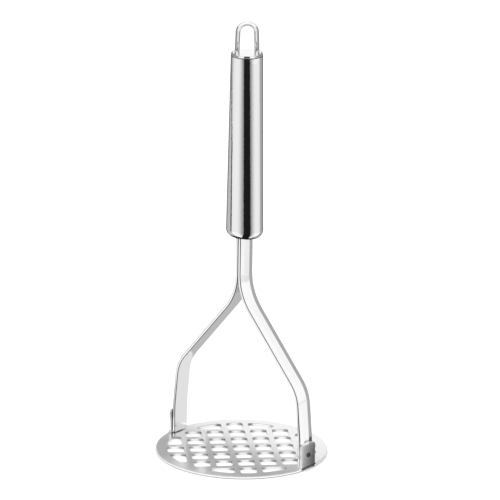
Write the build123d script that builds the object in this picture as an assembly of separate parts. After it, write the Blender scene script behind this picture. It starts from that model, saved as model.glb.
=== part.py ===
from build123d import *
import os
from math import cos, radians, sin, sqrt, tan

# Potato masher, all stainless steel.  Millimetres, +Z up.
# The origin is the centre of the mashing plate's underside.  The two arms
# spread along X and are mirror images of each other about the YZ plane.

# ---- mashing plate ------------------------------------------------------
plate_diameter = 85.0
sheet = 1.25                # thickness of the plate and of its two tabs
rim_round = 0.3             # softened edge all round the rim
hole_pitch = 10.9
hole_side = 8.0
hole_corner = 1.2
hole_edge_round = 0.18      # rolled-over upper edge left by the punch
grille_radius = 37.1        # the outer openings stop on this circle
tip_round = 2.0             # round at the sharp end of a tapering opening
grille_turn = 45.0          # rows of holes, turned from the arms' line

# ---- tabs that turn up from the plate to hold the arms -------------------
tab_width = 10.5
tab_top = 13.0
tab_corner = 1.0
tab_bend = 0.5              # inner radius of the fold
tab_flare = 1.5             # radius where the tab's sides run out into the rim
tab_root = 2.0              # part of the folded strip that lies in the plate

# ---- arms, bent from flat bar with a faceted outer face ------------------
bar_width = 9.8
bar_thickness = 1.8
facet_width = 3.0           # sloping strip along each outer edge
facet_drop = 0.35
bar_round = 0.45            # polished-over edges of the bar
neck_corner = 82.3          # height where the two arms would part, unrounded
neck_bend = 28.0
knee_x, knee_z = 37.9, 38.5
knee_bend = 20.0
foot_corner = 15.5          # below this height the arm lies flat on its tab
foot_bend = 60.0
tang_top = 138.0            # upper end of the arm, inside the handle

# ---- blind rivets that pin each arm to its tab -----------------------------
rivet_height = 7.5
rivet_shank = 1.7
rivet_grip = 1.1            # how deep the shank goes into the arm
rivet_head = 2.6
rivet_dome = 0.6            # height of the head
rivet_dome_round = 0.54

# ---- hollow handle: an oval lower end that turns round towards the top ---
handle_bottom = 111.2
handle_top = 203.6
oval_long = 9.7             # half length along X at the lower end
oval_short = 8.3            # half width along Y at the lower end
top_radius = 7.85
shoulder = 4.0
wall = 0.7
plug_top = 124.0            # the plug grips the arms from the floor to here

# ---- end cap ---------------------------------------------------------------
cap_height = 1.2
cap_edge = 0.9
cap_web = 1.0               # part of the cap's disc that lies inside the tube
spigot_depth = 5.0
spigot_wall = 0.8
seam_round = 0.2

# ---- wire loop ---------------------------------------------------------------
wire = 2.4
loop_top = 220.5
loop_bend = 4.5             # centre-line radius of the arch
loop_splay = 2.0            # the legs lean outwards, in degrees from upright
loop_turn = 40.0            # plane of the loop, turned from the arms' line
hook_bend = 1.7
hook_stub = 1.4
loop_clearance = 0.12       # round each leg where it passes the cap

fit_gap = 0.05              # clearance of press-fitted pieces, per side

# ---- worked out from the dimensions above ------------------------------------
plate_radius = plate_diameter / 2
tab_face = sqrt(plate_radius**2 - (tab_width / 2) ** 2)   # corners on the rim
arm_face = tab_face - sheet                               # arm's outer face
fold_start = arm_face - tab_bend                          # flat sheet ends here
foot_x = arm_face - bar_thickness / 2
arm_foot = sheet + tab_bend                               # clears the fold
arch_centre = loop_top - wire / 2 - loop_bend
leg_top_x = loop_bend * cos(radians(loop_splay))
leg_top_z = arch_centre + loop_bend * sin(radians(loop_splay))
cap_underside = handle_top - cap_web
hook_z = cap_underside - wire / 2 - fit_gap
ample = 4 * oval_long                                     # wider than the handle


def loop_leg_x(z):
    """Distance of a loop leg's centre line from the axis at height z."""
    return leg_top_x + (leg_top_z - z) * tan(radians(loop_splay))


def square_hole(column, row):
    outline = Rectangle(hole_side, hole_side)
    outline = fillet(outline.vertices(), hole_corner)
    return Pos(column * hole_pitch, row * hole_pitch) * outline


def rim_hole(start, end):
    """Opening of the outermost row, from start to end along it, cut off by
    the grille circle.  One that runs past the circle tapers to a tip."""
    inner = 3 * hole_pitch - hole_side / 2
    band = Pos((start + end) / 2, (inner + plate_radius) / 2) * Rectangle(
        end - start, plate_radius - inner)
    outline = band & Circle(grille_radius)
    if end > grille_radius:
        tip = outline.vertices().sort_by(Axis.X)[-1]
        outline = fillet(tip, tip_round)
        return fillet(outline.vertices().sort_by(Axis.X)[:2], hole_corner)
    return fillet(outline.vertices(), hole_corner)


def make_grille():
    """All openings of the plate, as one flat sketch."""
    openings = [square_hole(i, j) for i in range(-2, 3) for j in range(-2, 3)]
    middle = rim_hole(-hole_side / 2, hole_side / 2)
    tapering = rim_hole(hole_pitch - hole_side / 2, plate_radius)
    for quarter in range(4):
        turn = Rot(Z=90 * quarter)
        openings += [turn * middle, turn * tapering,
                     turn * mirror(tapering, about=Plane.YZ)]
    return Rot(Z=grille_turn) * (Sketch() + openings)


def rivet_bore():
    """Hole on the +X side, through the tab and blind in the arm's foot."""
    return Pos(arm_face - rivet_grip - fit_gap, 0, rivet_height) * Rot(
        Y=90) * Cylinder(
        rivet_shank / 2 + fit_gap, 4 * bar_thickness,
        align=(Align.CENTER, Align.CENTER, Align.MIN))


def make_tab():
    """Tab on the +X side: a strip of the plate folded upright."""
    root = fold_start - tab_root
    profile = Plane.XZ * Polyline(
        (root, 0), (tab_face, 0), (tab_face, tab_top),
        (arm_face, tab_top), (arm_face, sheet), (root, sheet), close=True)
    side = make_face(profile)
    outer_corner = side.vertices().sort_by_distance((tab_face, 0, 0))[0]
    side = fillet(outer_corner, sheet + tab_bend)
    inner_corner = side.vertices().sort_by_distance((arm_face, 0, sheet))[0]
    side = fillet(inner_corner, tab_bend)
    tab = extrude(side, tab_width / 2, both=True)
    upper = tab.edges().filter_by(Axis.X).group_by(Axis.Z)[-1]
    return fillet(upper, tab_corner) - rivet_bore()


def fold_window():
    """Room for the folded strip, out to the rim."""
    return Pos(fold_start, 0, 0) * Box(
        plate_radius, tab_width, 4 * sheet,
        align=(Align.MIN, Align.CENTER, Align.CENTER))


def tab_flares():
    """Webs in both inner corners between the tab's sides and the rim."""
    base, top = sheet / 2, sheet + tab_flare
    span = tab_width + 2 * tab_flare
    corner = (Align.MIN, Align.CENTER, Align.MIN)
    web = Box(sheet, span, top - base, align=corner)
    web -= Box(sheet, tab_width, top - base, align=corner)
    web = Pos(arm_face, 0, base) * web
    for y in (-span / 2, span / 2):
        web -= Pos(arm_face, y, top) * Rot(Y=90) * Cylinder(
            tab_flare, 4 * sheet)
    return web & Cylinder(plate_radius, 2 * top)


def make_plate():
    disc = Cylinder(plate_radius, sheet,
                    align=(Align.CENTER, Align.CENTER, Align.MIN))
    disc = fillet(disc.edges(), rim_round)
    disc -= extrude(make_grille(), sheet)
    upper_face = disc.faces().filter_by(Plane.XY).sort_by(Axis.Z)[-1]
    disc = fillet(upper_face.inner_wires().edges(), hole_edge_round)
    folded = make_tab() + tab_flares()
    for side in (0, 180):
        turn = Rot(Z=side)
        disc = disc - turn * fold_window() + turn * folded
    return disc


def make_arm():
    """Arm on the +X side, from its tang in the handle down to its foot."""
    neck_x = bar_thickness / 2
    path = Plane.XZ * FilletPolyline(
        (neck_x, tang_top), (neck_x, neck_corner), (knee_x, knee_z),
        (foot_x, foot_corner), (foot_x, arm_foot),
        radius=[neck_bend, knee_bend, foot_bend])
    half_t, half_w = bar_thickness / 2, bar_width / 2
    edge_x = half_t - facet_drop
    flat_y = half_w - facet_width
    outline = Polyline(
        (-half_t, -half_w), (edge_x, -half_w), (half_t, -flat_y),
        (half_t, flat_y), (edge_x, half_w), (-half_t, half_w), close=True)
    section = make_face(outline)
    section = fillet(section.vertices(), bar_round)
    start = Plane(origin=(neck_x, 0, tang_top), x_dir=(1, 0, 0),
                  z_dir=(0, 0, -1))
    arm = sweep(start * section, path=path)
    return arm - rivet_bore()


def make_rivet():
    """Rivet on the +X side: rounded head outside, tail hidden in the arm."""
    from_below = (Align.CENTER, Align.CENTER, Align.MIN)
    head = Cylinder(rivet_head / 2, rivet_dome, align=from_below)
    head = fillet(head.edges().sort_by(Axis.Z)[-1], rivet_dome_round)
    shank_length = sheet + rivet_grip
    shank = Pos(0, 0, -shank_length) * Cylinder(
        rivet_shank / 2, shank_length, align=from_below)
    return Pos(tab_face, 0, rivet_height) * Rot(Y=90) * (shank + head)


def handle_form(inset):
    """Solid of the handle's outer shape, shrunk by inset on every side."""
    low = Pos(0, 0, handle_bottom + inset) * Ellipse(
        oval_long - inset, oval_short - inset)
    high = Pos(0, 0, handle_top) * Circle(top_radius - inset)
    form = loft([low, high], ruled=True)
    return fillet(form.edges().sort_by(Axis.Z)[0], shoulder - inset)


def tang_slot():
    """Passage for the two arms lying face to face."""
    height = handle_top - handle_bottom
    return Pos(0, 0, handle_bottom + height / 2 - wall) * Box(
        2 * (bar_thickness + fit_gap), bar_width + 2 * fit_gap, height)


def make_handle_tube():
    outer = handle_form(0)
    outer = fillet(outer.edges().sort_by(Axis.Z)[-1], seam_round)
    tube = outer - handle_form(wall)
    low_end = Pos(0, 0, handle_bottom) * Box(ample, ample, 4 * shoulder)
    return tube - (tang_slot() & low_end)


def make_tang_plug():
    """Slotted plug inside the lower end, gripping both arms."""
    height = plug_top - handle_bottom
    slab = Pos(0, 0, handle_bottom + height / 2) * Box(ample, ample, height)
    return (handle_form(wall + fit_gap) & slab) - tang_slot()


def make_end_cap():
    disc = Pos(0, 0, handle_top) * Cylinder(
        top_radius, cap_height, align=(Align.CENTER, Align.CENTER, Align.MIN))
    disc = fillet(disc.edges().sort_by(Axis.Z)[-1], cap_edge)
    disc = fillet(disc.edges().filter_by(GeomType.CIRCLE)
                  .sort_by(Axis.Z)[0], seam_round)
    spigot_radius = top_radius - wall - fit_gap
    spigot = Pos(0, 0, handle_top) * Cylinder(
        spigot_radius, spigot_depth,
        align=(Align.CENTER, Align.CENTER, Align.MAX))
    hollow = Pos(0, 0, cap_underside) * Cylinder(
        spigot_radius - spigot_wall, spigot_depth,
        align=(Align.CENTER, Align.CENTER, Align.MAX))
    cap = disc + spigot - hollow
    middle = handle_top + (cap_height - cap_web) / 2
    for side in (-1, 1):
        leg = Pos(side * loop_leg_x(middle), 0, middle) * Rot(
            Y=side * -loop_splay) * Cylinder(
            wire / 2 + loop_clearance, 3 * (cap_height + cap_web))
        cap -= Rot(Z=loop_turn) * leg
    return cap


def make_hanging_loop():
    """Arched wire whose ends hook inwards under the end cap."""
    leg_end = hook_z + hook_bend
    leg_length = (leg_top_z - leg_end) / cos(radians(loop_splay))
    arch = CenterArc((0, arch_centre), loop_bend, loop_splay,
                     180 - 2 * loop_splay)
    leg = PolarLine(arch @ 0, leg_length, loop_splay - 90)
    hook = JernArc(leg @ 1, leg % 1, hook_bend, -(90 + loop_splay))
    stub = PolarLine(hook @ 1, hook_stub, 180)
    half = leg + hook + stub
    line = Plane.XZ * (half + arch + mirror(half, about=Plane.YZ))
    start = Plane(origin=line @ 0, z_dir=line % 0)
    return Rot(Z=loop_turn) * sweep(start * Circle(wire / 2), path=line)


arm = make_arm()
rivet = make_rivet()
nodes = {
    "mashing_plate": make_plate(),
    "arm_right": arm,
    "arm_left": mirror(arm, about=Plane.YZ),
    "rivet_right": rivet,
    "rivet_left": mirror(rivet, about=Plane.YZ),
    "handle_tube": make_handle_tube(),
    "tang_plug": make_tang_plug(),
    "end_cap": make_end_cap(),
    "hanging_loop": make_hanging_loop(),
}

os.makedirs("parts", exist_ok=True)
for name, shape in nodes.items():
    export_step(shape, f"parts/{name}.step")
    print(name, "volume", round(shape.volume, 1))
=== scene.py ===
# %% [markdown]
# # A stainless steel potato masher
#
# The masher is already modelled to size: a perforated plate, two bent bars, a
# hollow handle and a wire loop.  This lesson loads that model and gives it what
# sells polished metal in a picture, which is hardly ever its own colour.  Steel
# is a mirror, so most of the work is in the finish of each surface and in what
# stands around the masher for it to reflect.

# %% Load the frame
import math

import bpy
from mathutils import Matrix, Vector


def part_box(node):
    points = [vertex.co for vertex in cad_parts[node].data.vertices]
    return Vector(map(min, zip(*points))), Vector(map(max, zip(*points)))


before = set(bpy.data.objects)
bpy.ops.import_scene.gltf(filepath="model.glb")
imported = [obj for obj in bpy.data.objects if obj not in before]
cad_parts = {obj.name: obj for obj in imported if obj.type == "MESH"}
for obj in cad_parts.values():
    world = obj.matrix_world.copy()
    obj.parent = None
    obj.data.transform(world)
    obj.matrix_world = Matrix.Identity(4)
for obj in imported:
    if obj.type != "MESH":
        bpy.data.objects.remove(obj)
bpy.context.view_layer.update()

# %% [markdown]
# ## Writing finishes as sums
#
# A procedural finish is a graph of nodes, and graphs built by hand in code are
# hard to read.  `Socket` wraps one output of the graph, so that `1 - mask` or
# `grain * 0.2 + 0.1` adds the Math nodes by itself.  Every other node comes from
# one method, `Finish.node`, which sets the node's options first and then fills
# its inputs with links or plain values.

# %% A socket that does arithmetic, and a finish that makes nodes
class Socket:
    def __init__(self, finish, output):
        self.finish, self.output = finish, output

    def maths(self, operation, first, second):
        return self.finish.node("ShaderNodeMath", {"operation": operation},
                                {0: first, 1: second})

    def __add__(self, other):
        return self.maths("ADD", self, other)

    def __sub__(self, other):
        return self.maths("SUBTRACT", self, other)

    def __rsub__(self, other):
        return self.maths("SUBTRACT", other, self)

    def __mul__(self, other):
        return self.maths("MULTIPLY", self, other)

    __radd__, __rmul__ = __add__, __mul__


class Finish:
    """One material while its nodes are being added."""

    def __init__(self, name):
        self.material = bpy.data.materials.new(name)
        self.material.use_nodes = True
        self.tree = self.material.node_tree
        self.tree.nodes.clear()

    def node(self, kind, settings=None, inputs=None, output=0):
        made = self.tree.nodes.new(kind)
        for name, value in (settings or {}).items():
            if name == "stops":
                self.set_stops(made.color_ramp.elements, value)
            else:
                setattr(made, name, value)
        for key, value in (inputs or {}).items():
            if isinstance(value, Socket):
                self.tree.links.new(value.output, made.inputs[key])
            else:
                made.inputs[key].default_value = value
        return Socket(self, made.outputs[output])

    @staticmethod
    def set_stops(elements, stops):
        while len(elements) < len(stops):
            elements.new(1.0)
        for element, (position, tone) in zip(elements, stops):
            element.position = position
            element.color = tone if len(tone) == 4 else (*tone, 1.0)

    def surface(self, shader):
        target = self.tree.nodes.new("ShaderNodeOutputMaterial")
        self.tree.links.new(shader.output, target.inputs["Surface"])
        return self.material


def grey(tone):
    return (tone, tone, tone)


# %% [markdown]
# ## Patterns that metal shows
#
# Three things tell real steel from a perfect mirror.  Rolling and polishing
# leave a grain of very fine parallel lines.  Handling leaves soft clouds where
# the shine is a little duller.  And use leaves a few hair-thin scratches.  Each
# is a noise texture in the masher's own coordinates, in metres, stretched by a
# scale along each axis.  A pattern that ignores UV maps runs unbroken round
# bends and over edges.

# %% Coordinates, grain, clouds and scratches
def position(finish, per_metre):
    """The point on the masher, with each axis multiplied by per_metre."""
    place = finish.node("ShaderNodeTexCoord", output=3)
    return finish.node("ShaderNodeVectorMath", {"operation": "MULTIPLY"},
                       {0: place, 1: per_metre})


def turned(finish, degrees, per_metre):
    """The same, after turning the pattern about the upright axis."""
    place = finish.node("ShaderNodeTexCoord", output=3)
    return finish.node("ShaderNodeMapping", {"vector_type": "TEXTURE"}, {
        "Vector": place,
        "Rotation": (0, 0, math.radians(degrees)),
        "Scale": tuple(1 / size for size in per_metre)})


def noise(finish, vector, detail=2.0):
    return finish.node("ShaderNodeTexNoise", {"normalize": True}, {
        "Vector": vector, "Scale": 1.0, "Detail": detail, "Roughness": 0.5})


def scratches(finish, vector, width):
    """Thin lines, 1 on the line and 0 off it, where stretched cells meet."""
    edge = finish.node("ShaderNodeTexVoronoi", {"feature": "DISTANCE_TO_EDGE"},
                       {"Vector": vector, "Scale": 1.0})
    return finish.node("ShaderNodeMapRange", {"interpolation_type": "SMOOTHSTEP"},
                       {"Value": edge, "From Min": 0.0, "From Max": width,
                        "To Min": 1.0, "To Max": 0.0})


def between(finish, value, low, high, softness):
    """1 where value lies between low and high, fading to 0 on both sides."""
    up = finish.node("ShaderNodeMapRange", {"interpolation_type": "SMOOTHSTEP"}, {
        "Value": value, "From Min": low, "From Max": low + softness})
    down = finish.node("ShaderNodeMapRange", {"interpolation_type": "SMOOTHSTEP"}, {
        "Value": value, "From Min": high - softness, "From Max": high})
    return up * (1 - down)


def leaning(finish, axis):
    """How far the surface faces along axis 0, 1 or 2, from -1 to 1."""
    normal = finish.node("ShaderNodeNewGeometry", output=1)
    return finish.node("ShaderNodeSeparateXYZ", inputs={"Vector": normal},
                       output=axis)


def steel(finish, tone_low, tone_high, tone_mask, roughness, height, depth):
    """A metal shader: tone runs between two greys, height is a bump in metres
    when multiplied by depth."""
    tone = finish.node("ShaderNodeMix", {"data_type": "RGBA"}, {
        0: tone_mask, 6: (*tone_low, 1), 7: (*tone_high, 1)}, output=2)
    bump = finish.node("ShaderNodeBump", inputs={
        "Height": height, "Distance": depth, "Strength": 1.0})
    shader = finish.node("ShaderNodeBsdfPrincipled", inputs={
        "Base Color": tone, "Roughness": roughness, "Metallic": 1.0,
        "Normal": bump})
    material = finish.surface(shader)
    print(material.name, "has", len(material.node_tree.nodes), "nodes")
    return material


# %% [markdown]
# ## The handle and its cap: mirror-polished tube
#
# A polished tube hides its grain, so the reflection of the room stays sharp.
# What is left of the polishing wheel runs round the tube, so the grain is
# stretched across and squeezed along the height.  Where the cap is pressed on,
# a hair-thin seam leaves a groove, and its shade is painted: a mask on the
# height turns the seam dark.

# %% Polished handle steel
SEAM_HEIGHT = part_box("handle_tube")[1].z
SEAM_BELOW, SEAM_ABOVE, SEAM_SOFTNESS = 0.00045, 0.0003, 0.0003
HANDLE_BUMP = 0.0000002


def handle_finish():
    finish = Finish("handle_polish")
    rings = noise(finish, position(finish, (90, 90, 5200)))
    clouds = noise(finish, position(finish, (38, 38, 24)), detail=3)
    hairs = scratches(finish, position(finish, (260, 260, 48)), 0.012)
    height_up = finish.node("ShaderNodeSeparateXYZ", inputs={
        "Vector": position(finish, (1, 1, 1))}, output=2)
    # Painted shade: the seam's groove is darkened in the tone and made rougher.
    seam_shade = between(finish, height_up, SEAM_HEIGHT - SEAM_BELOW,
                   SEAM_HEIGHT + SEAM_ABOVE, SEAM_SOFTNESS)
    roughness = 0.03 + clouds * 0.02 + rings * 0.02 + hairs * 0.04 + seam_shade * 0.2
    height = rings * 0.5 + clouds * 0.5
    return steel(finish, (0.12, 0.12, 0.12), (0.92, 0.92, 0.92),
                 (1 - seam_shade * 0.9) * (0.95 + clouds * 0.05), roughness, height,
                 HANDLE_BUMP)


handle_steel = handle_finish()

# %% [markdown]
# ## The arms: polished flat bar
#
# The bar is drawn to shape and then polished along its length.  The grain lines
# follow the bar, so they change quickly across it, along Y, and slowly in the
# other two directions.  That works on both slopes of a bent arm.  The rounded
# edges get a painted dark line, in place of the dark reflections and shade along
# them: a mask on the sideways lean of the surface darkens them between the flat
# faces and the sides, and makes them a little rougher.

# %% Bar steel
BAR_BUMP = 0.000002


def bar_finish():
    finish = Finish("bar_polish")
    lines = noise(finish, position(finish, (26, 4200, 26)), detail=3)
    clouds = noise(finish, position(finish, (60, 90, 60)), detail=3)
    hairs = scratches(finish, position(finish, (110, 700, 110)), 0.02)
    sideways = finish.node("ShaderNodeMath", {"operation": "ABSOLUTE"},
                           {0: leaning(finish, 1)})
    # Painted shade: the rounded edges are darkened in the tone, in place of their
    # dark reflections.
    painted_edge_shade = between(finish, sideways, 0.2, 0.985, 0.1)
    roughness = 0.08 + lines * 0.05 + clouds * 0.04 + hairs * 0.05 + painted_edge_shade * 0.1
    height = lines * 0.8 + hairs * 0.2
    return steel(finish, (0.08, 0.08, 0.08), (0.93, 0.93, 0.93),
                 (1 - painted_edge_shade) * (0.9 + lines * 0.1), roughness, height, BAR_BUMP)


bar_steel = bar_finish()

# %% [markdown]
# ## The plate: satin rolled sheet
#
# The plate is punched out of sheet that keeps its mill finish.  It is duller
# than the bars, with a fine grain in the rolling direction, and its upper face
# shows clouds where food acids and washing have dulled it unevenly.  The tight
# corners of the punched holes get painted shade, in black.  The Ambient Occlusion
# node finds them from the shape itself, and the mask keeps to the walls inside
# the grille.  Two more masks paint shade on the rolled-over upper edges, a
# little, and on the rim's underside.

# %% Plate steel
ROLLING_DIRECTION = 45
CORNER_REACH = 0.003
GRILLE_RADIUS = 0.038
GRILLE_SOFTNESS = 0.0005
PLATE_BUMP = 0.000003


def plate_finish():
    finish = Finish("plate_satin")
    lines = noise(finish, turned(finish, ROLLING_DIRECTION, (60, 3800, 60)),
                  detail=3)
    clouds = noise(finish, position(finish, (70, 70, 70)), detail=4)
    hairs = scratches(finish, turned(finish, -20, (90, 420, 90)), 0.015)
    open_sky = finish.node("ShaderNodeAmbientOcclusion", {
        "samples": 12, "only_local": True}, {"Distance": CORNER_REACH}, output=1)
    # Painted shade: corners that the AO node finds are turned black in the base
    # colour.
    hole_corner_shade = finish.node("ShaderNodeMapRange", {"interpolation_type": "SMOOTHSTEP"},
                        {"Value": open_sky, "From Min": 0.94, "From Max": 0.895})
    upward = leaning(finish, 2)
    reach = finish.node("ShaderNodeVectorMath", {"operation": "LENGTH"},
                        {0: position(finish, (1, 1, 0))}, output=1)
    walls = between(finish, upward, -0.4, 0.4, 0.2) * between(
        finish, reach, -1, GRILLE_RADIUS, GRILLE_SOFTNESS)
    # Painted shade on the rolled-over upper edges and on the rim's underside.
    rolled_edge_shade = between(finish, upward, 0.25, 0.985, 0.15)
    rim_underside_shade = between(finish, upward, -0.985, -0.08, 0.06)
    roughness = 0.12 + lines * 0.08 + clouds * 0.08 + hairs * 0.05
    height = lines * 0.8 + hairs * -0.4
    return steel(finish, (0.06, 0.06, 0.06), (0.86, 0.86, 0.865),
                 (1 - hole_corner_shade * walls) * (1 - rolled_edge_shade * 0.25) * (1 - rim_underside_shade)
                 * (0.93 + lines * 0.05 + clouds * 0.05), roughness,
                 height, PLATE_BUMP)


plate_steel = plate_finish()

# %% [markdown]
# ## Wire, rivets and the hidden plug
#
# Drawn wire keeps faint lines along its length.  The rivet heads are pressed,
# so they carry only a pebbled dullness, and their colour is painted nearly
# black, in place of the dark reflection they show.
# The plug never shows, but it still gets a plain machined finish.

# %% Wire, rivet and plug steel
WIRE_BUMP, RIVET_BUMP, PLUG_BUMP = 0.0000004, 0.00001, 0.000004


def wire_finish():
    finish = Finish("wire_drawn")
    lines = noise(finish, position(finish, (2600, 2600, 60)), detail=2)
    clouds = noise(finish, position(finish, (180, 180, 120)), detail=2)
    roughness = 0.06 + lines * 0.05 + clouds * 0.04
    return steel(finish, (0.84, 0.84, 0.845), (0.92, 0.92, 0.92), clouds,
                 roughness, lines, WIRE_BUMP)


def rivet_finish():
    finish = Finish("rivet_pressed")
    pebbles = noise(finish, position(finish, grey(2400)), detail=3)
    clouds = noise(finish, position(finish, grey(500)), detail=2)
    roughness = 0.22 + pebbles * 0.12
    # Painted dark reflection: the rivet's tones are kept nearly black.
    return steel(finish, (0.04, 0.04, 0.041), (0.12, 0.12, 0.122), clouds,
                 roughness, pebbles, RIVET_BUMP)


def plug_finish():
    finish = Finish("plug_turned")
    rings = noise(finish, position(finish, (100, 100, 4200)), detail=2)
    clouds = noise(finish, position(finish, grey(120)), detail=2)
    roughness = 0.3 + rings * 0.1
    return steel(finish, (0.56, 0.56, 0.565), (0.68, 0.68, 0.685), clouds,
                 roughness, rings, PLUG_BUMP)


rivet_steel = rivet_finish()

# %% [markdown]
# ## Dressing the pieces
#
# Each piece of the model is a mesh with one material slot, so a finish is put
# on by filling that slot.

# %% Put the finishes on
dress = {
    "mashing_plate": plate_steel,
    "arm_right": bar_steel,
    "arm_left": bar_steel,
    "rivet_right": rivet_steel,
    "rivet_left": rivet_steel,
    "handle_tube": handle_steel,
    "end_cap": handle_steel,
    "hanging_loop": wire_finish(),
    "tang_plug": plug_finish(),
}
for name, material in dress.items():
    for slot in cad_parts[name].material_slots:
        slot.material = material
print("finished", len(dress), "pieces with", len(set(dress.values())), "steels")

# %% [markdown]
# ## The camera
#
# The masher is seen from its front right, a little from above, through a long
# lens, so that the sides of the handle stay nearly parallel.  The lens stands
# 2.6 m from the handle's axis.

# %% Camera
CAMERA_AZIMUTH = 38.8
CAMERA_DISTANCE = 2.6
CAMERA_HEIGHT = 0.930
LENS = 400.4
TILT = 0.81
AIM_RIGHT, AIM_HEIGHT = 0.0028, 0.1042


def around(azimuth, radius, height=0.0):
    """A point at an azimuth: 0 is in front (-Y) and 90 to the right (+X)."""
    angle = math.radians(azimuth)
    return Vector((radius * math.sin(angle), -radius * math.cos(angle), height))


camera = bpy.data.objects.new("camera", bpy.data.cameras.new("camera"))
bpy.context.scene.collection.objects.link(camera)
camera.data.lens = LENS
camera.data.sensor_width = 36.0
camera.data.clip_end = 30.0
camera.location = around(CAMERA_AZIMUTH, CAMERA_DISTANCE, CAMERA_HEIGHT)
aim = around(CAMERA_AZIMUTH + 90, AIM_RIGHT, AIM_HEIGHT)
facing = (aim - camera.location).to_track_quat("-Z", "Y")
camera.rotation_euler = (
    facing.to_matrix() @ Matrix.Rotation(math.radians(TILT), 3, "Z")).to_euler()
bpy.context.scene.camera = camera
bpy.context.scene.view_settings.view_transform = "Standard"
print("camera at", [round(value, 3) for value in camera.location])

# %% [markdown]
# ## The studio
#
# The floor is plain and pale, and the light is an even white sky with one large
# soft box overhead.  On its own that would turn a mirror-like object blank
# white, because there would be nothing but white to reflect.  The usual way to
# light silverware is a light tent with dark flags: cards that stand close by,
# out of view, and show only as dark lines in the metal.  Here the tent and the
# flags are meshes that glow and that only reflections can see.

# %% Floor, sky and soft box
def mesh_object(name, points, faces, material):
    mesh = bpy.data.meshes.new(name)
    mesh.from_pydata([tuple(point) for point in points], [], faces)
    mesh.materials.append(material)
    made = bpy.data.objects.new(name, mesh)
    bpy.context.scene.collection.objects.link(made)
    return made


def floor_finish():
    finish = Finish("floor_paper")
    shader = finish.node("ShaderNodeBsdfPrincipled", inputs={
        "Base Color": (0.95, 0.95, 0.95, 1), "Roughness": 0.9})
    return finish.surface(shader)


FLOOR_REACH = 12.0
corners = [around(turn, FLOOR_REACH) for turn in (45, 135, 225, 315)]
mesh_object("floor", corners, [(0, 1, 2, 3)], floor_finish())

world = bpy.data.worlds.new("sky")
bpy.context.scene.world = world
world.use_nodes = True
world.node_tree.nodes["Background"].inputs["Color"].default_value = (1, 1, 1, 1)
world.node_tree.nodes["Background"].inputs["Strength"].default_value = 1.1

box_light = bpy.data.lights.new("soft_box", "AREA")
box_light.shape = "DISK"
box_light.size = 1.6
box_light.energy = 12.0
soft_box = bpy.data.objects.new("soft_box", box_light)
soft_box.location = (0, 0, 2.2)
bpy.context.scene.collection.objects.link(soft_box)
soft_box.visible_glossy = False
print("floor", 2 * FLOOR_REACH, "m across, soft box", box_light.size, "m across")

# %% [markdown]
# A tent is easiest to describe by compass: standing at the masher, which tone is
# seen in which direction?  Directions are counted in degrees from the camera's
# own, to the right as positive.  A radial gradient turns a direction into a
# number from 0 to 1, and a colour ramp turns that number into a tone.

# %% A glow whose tone depends on the direction
def compass_glow(name, stops):
    finish = Finish(name)
    place = finish.node("ShaderNodeTexCoord", output=3)
    turn = finish.node("ShaderNodeMapping", {"vector_type": "POINT"}, {
        "Vector": place,
        "Rotation": (0, 0, math.radians(90 - CAMERA_AZIMUTH))})
    sweep = finish.node("ShaderNodeTexGradient", {"gradient_type": "RADIAL"},
                        {"Vector": turn}, output=1)
    tone = finish.node("ShaderNodeValToRGB", {"stops": [
        ((degrees + 180) / 360, grey(tone)) for degrees, tone in stops]},
        {"Fac": sweep})
    glow = finish.node("ShaderNodeEmission", inputs={"Color": tone})
    return finish.surface(glow)


def mirrored(stops):
    """The same stops to the left and to the right of the camera."""
    return [(-degrees, tone) for degrees, tone in reversed(stops)] + stops


def only_in_reflections(made):
    made.visible_camera = False
    made.visible_diffuse = False
    made.visible_transmission = False
    made.visible_volume_scatter = False
    made.visible_shadow = False


CARD_SIDES = 96


def polar_card(name, rows, material):
    """A sheet through rows of (radius, height, first, last), where first and
    last are directions in degrees from the camera's."""
    points = [around(CAMERA_AZIMUTH + first + (last - first) * side / CARD_SIDES,
                     radius, height)
              for radius, height, first, last in rows
              for side in range(CARD_SIDES + 1)]
    starts = [row * (CARD_SIDES + 1) + side
              for row in range(len(rows) - 1) for side in range(CARD_SIDES)]
    faces = [(start, start + 1, start + CARD_SIDES + 2, start + CARD_SIDES + 1)
             for start in starts]
    only_in_reflections(mesh_object(name, points, faces, material))


# %% [markdown]
# ## The tent
#
# The handle leans its reflections down to the floor between 0.36 and 0.8 m
# away.  A black cloth on the floor under the camera puts the one dark stripe
# down the middle of the handle, and the cloth darkens again behind, which draws
# the tube's dark outline.  The arms and the handle's end look at the floor closer
# by, and the bends of the arms further out, so each ring of floor has its own
# cloth.  The dome above stays bright for the flat faces.

# %% The floor cloths and the dome, as (degrees from the camera, tone)
TENT_RADIUS = 1.5
PINHOLE = 0.001
HANDLE_CLOTH = mirrored([
    (0, 0.012), (19.5, 0.012), (23, 0.26), (34, 0.5), (42, 0.69), (50, 0.85),
    (63, 0.93), (77, 0.92), (97, 0.86), (110, 0.8), (112, 0.56), (126, 0.5),
    (139, 0.2), (175, 0.16)])
NEAR_CLOTH = mirrored([
    (0, 0.012), (19.5, 0.012), (24, 0.3), (36, 0.6), (50, 1.0), (66, 1.08),
    (113, 1.0), (132, 0.4), (148, 0.04)])
FAR_CLOTH = mirrored([
    (0, 0.012), (19.5, 0.012), (24, 0.3), (36, 0.6), (50, 1.0), (66, 1.08),
    (113, 1.08), (115, 0.5), (126, 0.5), (139, 0.2), (175, 0.16)])
DOME = mirrored([
    (0, 1.08), (60, 1.08), (114, 1.08), (115.5, 0.46), (140, 0.46), (150, 0.9),
    (160, 1.04)])

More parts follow.
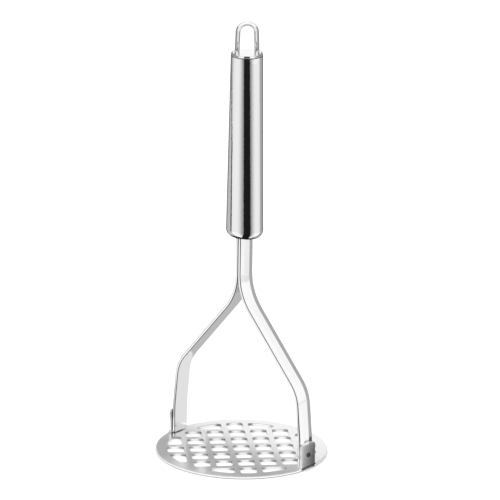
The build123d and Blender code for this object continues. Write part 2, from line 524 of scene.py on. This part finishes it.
# %% Hang the tent
CLOTH_HEIGHT = 0.0003
RINGS = [("near", 0.048, 0.365, NEAR_CLOTH), ("handle", 0.365, 0.83, HANDLE_CLOTH),
         ("far", 0.83, TENT_RADIUS, FAR_CLOTH)]
for name, inner, outer, stops in RINGS:
    polar_card("tent_" + name, [(inner, CLOTH_HEIGHT, -180, 180),
                                (outer, CLOTH_HEIGHT, -180, 180)],
               compass_glow(name + "_cloth", stops))
arch = [(TENT_RADIUS * math.cos(math.radians(rise)) + PINHOLE,
         TENT_RADIUS * math.sin(math.radians(rise)), -180, 180)
        for rise in range(0, 91, 6)]
polar_card("tent_dome", arch, compass_glow("dome_cloth", DOME))
print("tent of", len(RINGS), "rings and a dome,", 2 * TENT_RADIUS, "m across")

# %% [markdown]
# ## Flags
#
# A flag is a plain card that is placed for one reflection.  Each flag could be
# a lamp or a painted patch on the metal instead, but a card gives a crisp line
# that bends with the surface, as a real reflection does.

# %% Flat cards of one tone
def plain_glow(name, tone):
    finish = Finish(name)
    glow = finish.node("ShaderNodeEmission", inputs={"Color": (*grey(tone), 1)})
    return finish.surface(glow)


def card(name, corners, material):
    """A flat card through corners given in millimetres."""
    points = [(x / 1000, y / 1000, z / 1000) for x, y, z in corners]
    only_in_reflections(mesh_object(name, points, [tuple(range(len(corners)))],
                                    material))


# %% [markdown]
# The bevels of the right arm are grey beside its bright flat.  Their grey is a
# card behind the masher, and its near edge follows the line that splits the
# bevel from the flat.  At the bends the arm looks further out and then up, so
# the grey goes on across the floor and climbs a wall.

# %% The grey of the arm's bevels, as (radius or height, first direction)
FLAG_HEIGHT = 0.0006
ARM_FLAG = [(0.052, 68), (0.069, 80.7), (0.105, 88.5), (0.141, 95), (0.2, 98.5),
            (0.253, 101.5), (0.28, 104), (0.362, 105)]
arm_grey = plain_glow("flag_arm_card", 0.43)
polar_card("flag_arm", [(radius, FLAG_HEIGHT, first, 150)
                        for radius, first in ARM_FLAG], arm_grey)

WALL_RADIUS = 1.3
BEND_FLOOR = [(0.362, 105), (0.45, 107), (0.67, 107), (0.83, 105),
              (WALL_RADIUS, 105)]
BEND_WALL = [(0.2, 105.5), (0.3, 106.5), (0.4, 108), (0.5, 110), (0.6, 112.5),
             (0.7, 114.5), (0.8, 116.5)]
polar_card("flag_bend",
           [(radius, FLAG_HEIGHT, first, 126) for radius, first in BEND_FLOOR]
           + [(WALL_RADIUS, height, first, 150) for height, first in BEND_WALL],
           arm_grey)
print("bevel card of", len(ARM_FLAG) + len(BEND_FLOOR) + len(BEND_WALL), "rows")

# %% [markdown]
# A grey band with a dark edge runs down the left of the handle.  The handle is
# oval at its lower end and round at the top, so the band narrows as it rises.
# Its card lies on the floor to the left, and a thin dark strip lies along the
# card's edge.

# %% The band on the handle, as (radius, first direction, last direction)
BAND_FLAG = [(0.06, -88, -178), (0.35, -95.5, -140), (0.56, -106, -140),
             (0.66, -121, -140), (0.72, -139, -140)]
EDGE_HEIGHT, EDGE_HALF_WIDTH = 0.0009, 5
polar_card("flag_band", [(radius, FLAG_HEIGHT, first, last)
                         for radius, first, last in BAND_FLAG],
           plain_glow("flag_band_card", 0.54))
polar_card("flag_band_edge",
           [(radius, EDGE_HEIGHT, first + EDGE_HALF_WIDTH, first - EDGE_HALF_WIDTH)
            for radius, first, last in BAND_FLAG[1:]],
           plain_glow("flag_band_line", 0.08))
print("band card out to", BAND_FLAG[-1][0], "m")

# %% [markdown]
# The plate looks up and to the back, where one card greys its front.  The left
# arm's sloping inner face looks down on the same place from above, so a second
# card of a lighter grey lies just over the first.  The leg below the slope would
# mirror the plate's holes.  A pale card stands in front of it instead.

# %% Cards for the plate and the left arm, in millimetres
PLATE_FLAG = [(-140, 12), (20, 12), (20, 64), (-140, 64)]
for name, height, tone in (("flag_plate", 30, 0.4), ("flag_slope", 31, 0.53)):
    card(name, [(x, y, height) for x, y in PLATE_FLAG],
         plain_glow(name + "_card", tone))

LEG_FLAG = [(-24.7, 2.1, 1.6), (-38.7, 13.5, 1.6), (-38.7, 13.5, 34),
            (-24.7, 2.1, 34)]
card("flag_leg", LEG_FLAG, plain_glow("flag_leg_card", 0.84))
print("cards for the plate, the slope and the leg")

# %% [markdown]
# The tab's outer face darkens from left to right, so its card fades too.  The
# fade runs across the line along which the camera sees the card in the tab.

# %% A card that fades, for the tab
def fading_glow(name, direction, start, end, stops):
    """A glow that changes along a level direction, from start to end mm."""
    finish = Finish(name)
    place = finish.node("ShaderNodeTexCoord", output=3)
    angle = math.radians(direction)
    along = finish.node("ShaderNodeVectorMath", {"operation": "DOT_PRODUCT"}, {
        0: place, 1: (math.sin(angle), -math.cos(angle), 0)}, output=1)
    share = finish.node("ShaderNodeMapRange", inputs={
        "Value": along, "From Min": start / 1000, "From Max": end / 1000})
    tone = finish.node("ShaderNodeValToRGB", {"stops": [
        (share_at, grey(tone)) for share_at, tone in stops]}, {"Fac": share})
    glow = finish.node("ShaderNodeEmission", inputs={"Color": tone})
    return finish.surface(glow)


TAB_FLAG = [(42.8, -4), (69, 28), (60, 52), (36, 40), (37, 23)]
TAB_FLAG_HEIGHT = 1.1
card("flag_tab", [(x, y, TAB_FLAG_HEIGHT) for x, y in TAB_FLAG], fading_glow(
    "flag_tab_card", 231.2, -36.5, -29, [(0, 0.45), (0.5, 0.22), (1, 0.06)]))
print("tab card with", len(TAB_FLAG), "corners")

# %% [markdown]
# The stripe of the handle goes on as a black patch over the cap's bevel and as
# a black end under the handle, where the room's floor no longer shows.  Small
# black cards stand there.  The wire loop is round and thin, so a white card in
# front and a grey one on each side give it a bright middle and grey edges.

# %% Small cards at both ends of the handle, in millimetres
def front_card(name, near, far, material):
    """A card square to the camera.  near and far are two opposite edges, each
    as (distance in front of the axis, height, half width) in mm."""
    corners = []
    for side, (out, height, half) in ((-1, near), (1, near), (1, far), (-1, far)):
        spot = around(CAMERA_AZIMUTH, out) + around(CAMERA_AZIMUTH + 90, side * half)
        corners.append((spot.x, spot.y, height))
    card(name, corners, material)


CAP_TOP = 1000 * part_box("end_cap")[1].z
HANDLE_BASE = 1000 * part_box("handle_tube")[0].z
LOOP_LOW, LOOP_DISTANCE = CAP_TOP - 4, 25
front_card("flag_loop", (LOOP_DISTANCE, LOOP_LOW, 12),
           (LOOP_DISTANCE, CAP_TOP + 13.2, 12), plain_glow("flag_loop_card", 1.0))
black = plain_glow("flag_black_card", 0.01)
front_card("flag_cap", (23, CAP_TOP - 0.8, 6), (7, CAP_TOP + 1.7, 1.6), black)
front_card("flag_shoulder", (22, HANDLE_BASE - 2.7, 5.5),
           (5.6, HANDLE_BASE - 2.7, 2), black)

# %% Curved cards under the handle and round the loop
polar_card("flag_underside", [(radius, (HANDLE_BASE - 0.4) / 1000, -85, 85)
                              for radius in (0.0054, 0.0082)], black)
for side, name in ((-1, "flag_wire_left"), (1, "flag_wire_right")):
    polar_card(name, [(LOOP_DISTANCE / 1000, height / 1000, 52 * side, 162 * side)
                      for height in (LOOP_LOW, CAP_TOP + 21.2)],
               plain_glow(name + "_card", 0.3))
print("cap top at", round(CAP_TOP, 1), "mm, handle base at",
      round(HANDLE_BASE, 1), "mm")
